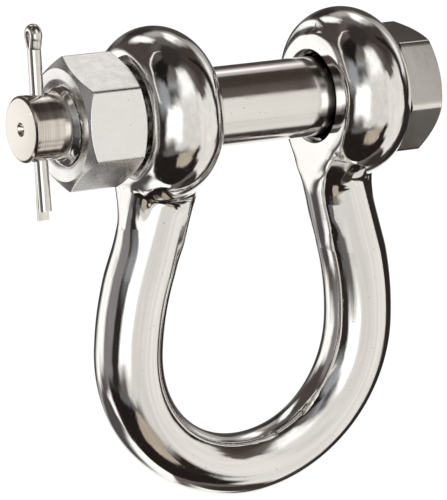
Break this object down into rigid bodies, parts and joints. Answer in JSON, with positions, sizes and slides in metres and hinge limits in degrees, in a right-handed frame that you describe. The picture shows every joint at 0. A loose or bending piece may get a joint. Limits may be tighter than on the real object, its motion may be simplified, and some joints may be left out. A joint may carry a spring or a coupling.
{
  "type": "bow shackle",
  "caption": "Polished stainless bow shackle: round-bar bow with flat-faced eyes, joined by a hex-head bolt, a nut and a split pin.",
  "frame": {"origin": "on the bolt's axis, midway between the two eyes", "axes": "+X along the bolt from its threaded end to its head, +Z from the crown of the bow to the bolt, Y across the flat of the bow"},
  "size_m": [0.1244, 0.0478, 0.1393],
  "materials": {
    "polished_bow_steel": "mirror-polished stainless steel",
    "polished_bolt_steel": "polished and turned stainless steel",
    "satin_nut_steel": "satin-polished stainless steel",
    "split_pin_steel": "plain drawn stainless wire"
  },
  "bodies": {
    "bow": {"bow": "polished_bow_steel"},
    "bolt": {"bolt": "polished_bolt_steel"},
    "nut": {"nut": "satin_nut_steel"},
    "split_pin": {"split_pin": "split_pin_steel"}
  },
  "joints": [
    {"name": "bolt_turn", "type": "hinge", "parent": "bow", "child": "bolt", "pos_m": [0, 0, 0], "axis": [1, 0, 0], "range_deg": [-144, 618]},
    {"name": "nut_travel", "type": "slide", "parent": "bow", "child": "nut", "axis": [-1, 0, 0], "range_m": [-0.001, 0.0043]},
    {"name": "split_pin_pull", "type": "slide", "parent": "bolt", "child": "split_pin", "axis": [0, 0.1599, 0.9871], "range_m": [-0.0105, 0.0355]}
  ],
  "couplings": [
    {"joint": "nut_travel", "follows": "bolt_turn", "m_per_rad": 0.00039789}
  ]
}
